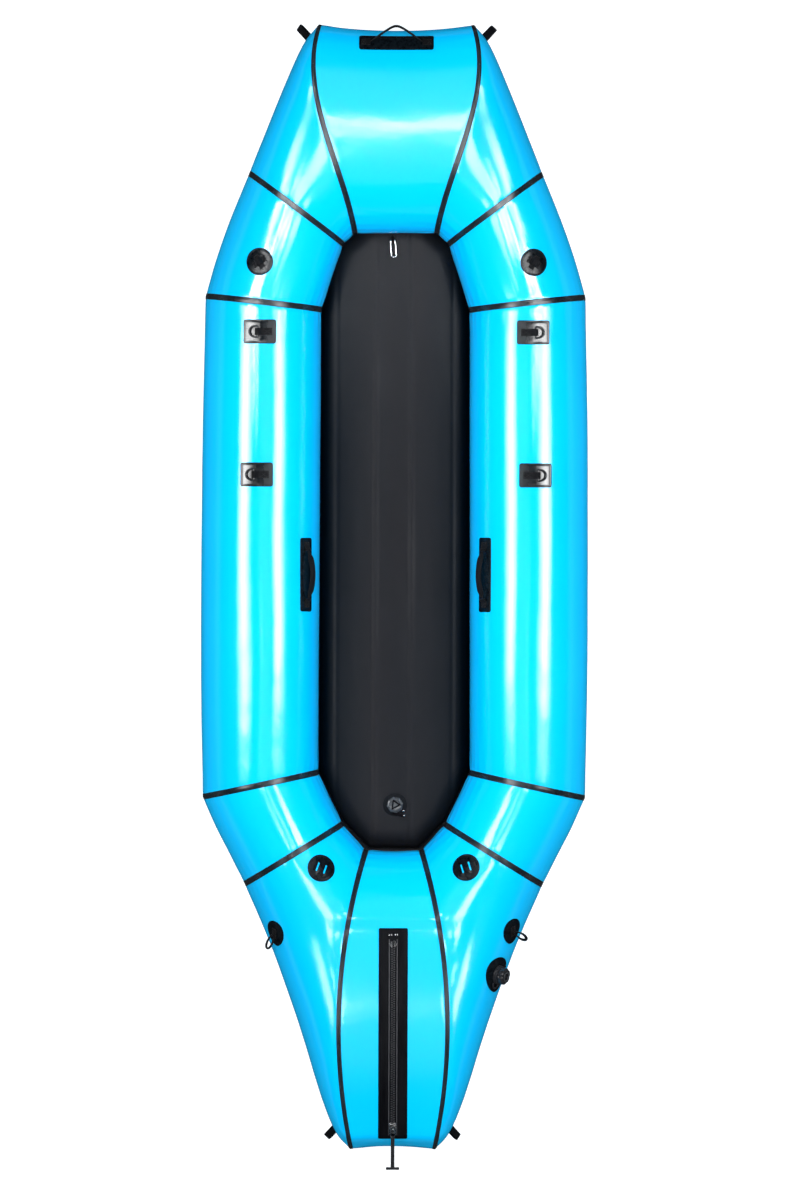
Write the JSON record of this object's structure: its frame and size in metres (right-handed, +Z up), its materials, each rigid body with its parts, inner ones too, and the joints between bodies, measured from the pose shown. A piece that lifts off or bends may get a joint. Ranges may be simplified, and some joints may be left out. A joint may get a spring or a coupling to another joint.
{
  "type": "packraft",
  "caption": "Inflatable packraft: mitred ring tube with a raised bow and long stern, inflatable floor mat, lashing rings, webbing handles and a cargo zip.",
  "frame": {"origin": "middle of the boat's length and beam, on the ground under the bottom sheet", "axes": "+Y towards the bow, +X to starboard, +Z up"},
  "size_m": [0.97, 2.8645, 0.3747],
  "materials": {
    "tube_fabric": "gloss",
    "seam_tape": "satin",
    "mat_fabric": "satin",
    "bottom_fabric": "matte",
    "patch_fabric": "satin",
    "webbing": "matte",
    "ring_plastic": "satin",
    "ring_metal": "satin",
    "zip_tape": "satin",
    "zip_teeth": "satin",
    "zip_metal": "polished",
    "pull_plastic": "satin",
    "valve_plastic": "satin"
  },
  "bodies": {
    "raft": {"bottom_sheet": "bottom_fabric", "bow_centre_panel": "tube_fabric", "bow_corner_left": "tube_fabric", "bow_corner_right": "tube_fabric", "bow_cross_tape_left": "seam_tape", "bow_cross_tape_right": "seam_tape", "bow_diagonal_tape_left": "seam_tape", "bow_diagonal_tape_right": "seam_tape", "bow_handle_patch": "patch_fabric", "bow_lash_patch_left": "patch_fabric", "bow_lash_patch_right": "patch_fabric", "bow_loop_left": "webbing", "bow_loop_right": "webbing", "bow_seam_tape_left": "seam_tape", "bow_seam_tape_right": "seam_tape", "bow_shoulder_left": "tube_fabric", "bow_shoulder_right": "tube_fabric", "floor_mat": "mat_fabric", "floor_valve_base": "valve_plastic", "gear_ring_tab": "webbing", "main_valve_base": "patch_fabric", "ring_patch_front_left": "patch_fabric", "ring_patch_front_right": "patch_fabric", "ring_patch_mid_left": "patch_fabric", "ring_patch_mid_right": "patch_fabric", "side_handle_left_patch": "patch_fabric", "side_handle_right_patch": "patch_fabric", "side_tube_left": "tube_fabric", "side_tube_right": "tube_fabric", "slot_patch_left": "patch_fabric", "slot_patch_right": "patch_fabric", "stern_centre_panel": "tube_fabric", "stern_corner_left": "tube_fabric", "stern_corner_right": "tube_fabric", "stern_cross_tape_left": "seam_tape", "stern_cross_tape_right": "seam_tape", "stern_diagonal_tape_left": "seam_tape", "stern_diagonal_tape_right": "seam_tape", "stern_lash_patch_left": "patch_fabric", "stern_lash_patch_right": "patch_fabric", "stern_loop_left": "webbing", "stern_loop_right": "webbing", "stern_quarter_left": "tube_fabric", "stern_quarter_right": "tube_fabric", "stern_seam_tape_left": "seam_tape", "stern_seam_tape_right": "seam_tape", "zip_tape": "zip_tape", "zip_teeth": "zip_teeth"},
    "zip_slider": {"zip_slider": "zip_metal"},
    "zip_pull": {"zip_pull": "pull_plastic"},
    "bow_grip": {"bow_handle_grip": "webbing"},
    "left_grip": {"side_handle_left_grip": "webbing"},
    "right_grip": {"side_handle_right_grip": "webbing"},
    "ring_front_left": {"lash_ring_front_left": "ring_plastic"},
    "ring_front_right": {"lash_ring_front_right": "ring_plastic"},
    "ring_mid_left": {"lash_ring_mid_left": "ring_plastic"},
    "ring_mid_right": {"lash_ring_mid_right": "ring_plastic"},
    "valve_cap": {"main_valve_cap": "valve_plastic"},
    "floor_cap": {"floor_valve_cap": "valve_plastic"},
    "gear_ring": {"gear_ring": "ring_metal"}
  },
  "joints": [
    {"name": "zip_slider_run", "type": "hinge", "parent": "raft", "child": "zip_slider", "pos_m": [0, -1.1718, -1.107], "axis": [-1, 0, 0], "range_deg": [0, 17.8]},
    {"name": "zip_pull_swing", "type": "hinge", "parent": "zip_slider", "child": "zip_pull", "pos_m": [0, -1.33066, 0.36425], "axis": [-1, 0, 0], "range_deg": [0, 150]},
    {"name": "bow_handle_swing", "type": "hinge", "parent": "raft", "child": "bow_grip", "pos_m": [0, 1.38555, 0.35176], "axis": [1, 0.0004, 0.0007], "range_deg": [-10, 75]},
    {"name": "left_handle_swing", "type": "hinge", "parent": "raft", "child": "left_grip", "pos_m": [-0.21466, 0.05371, 0.25027], "axis": [-0.0012, 1, -0.001], "range_deg": [-40, 40]},
    {"name": "right_handle_swing", "type": "hinge", "parent": "raft", "child": "right_grip", "pos_m": [0.21903, 0.05472, 0.25602], "axis": [0.0016, 1, -0.0015], "range_deg": [-40, 40]},
    {"name": "ring_front_left_flip", "type": "hinge", "parent": "raft", "child": "ring_front_left", "pos_m": [-0.3453, 0.66117, 0.30436], "axis": [-0.0002, 1, 0.0046], "range_deg": [0, 130]},
    {"name": "ring_front_right_flip", "type": "hinge", "parent": "raft", "child": "ring_front_right", "pos_m": [0.35164, 0.66117, 0.30323], "axis": [-0.0005, -1, -0.0046], "range_deg": [0, 130]},
    {"name": "ring_mid_left_flip", "type": "hinge", "parent": "raft", "child": "ring_mid_left", "pos_m": [-0.35262, 0.30371, 0.30286], "axis": [0.0002, 1, -0.0016], "range_deg": [0, 130]},
    {"name": "ring_mid_right_flip", "type": "hinge", "parent": "raft", "child": "ring_mid_right", "pos_m": [0.35819, 0.30371, 0.30208], "axis": [0.0002, -1, 0.0018], "range_deg": [0, 130]},
    {"name": "valve_cap_turn", "type": "hinge", "parent": "raft", "child": "valve_cap", "pos_m": [0.2608, -0.9448, 0.26748], "axis": [0.839, -0.2152, 0.4997], "range_deg": [0, 270]},
    {"name": "floor_cap_turn", "type": "hinge", "parent": "raft", "child": "floor_cap", "pos_m": [0.003, -0.5238, 0.078], "axis": [0, 0, 1], "range_deg": [0, 270]},
    {"name": "gear_ring_flip", "type": "hinge", "parent": "raft", "child": "gear_ring", "pos_m": [-0.0075, 0.8952, 0.0755], "axis": [-0.997, -0.0778, 0], "range_deg": [0, 130]}
  ]
}
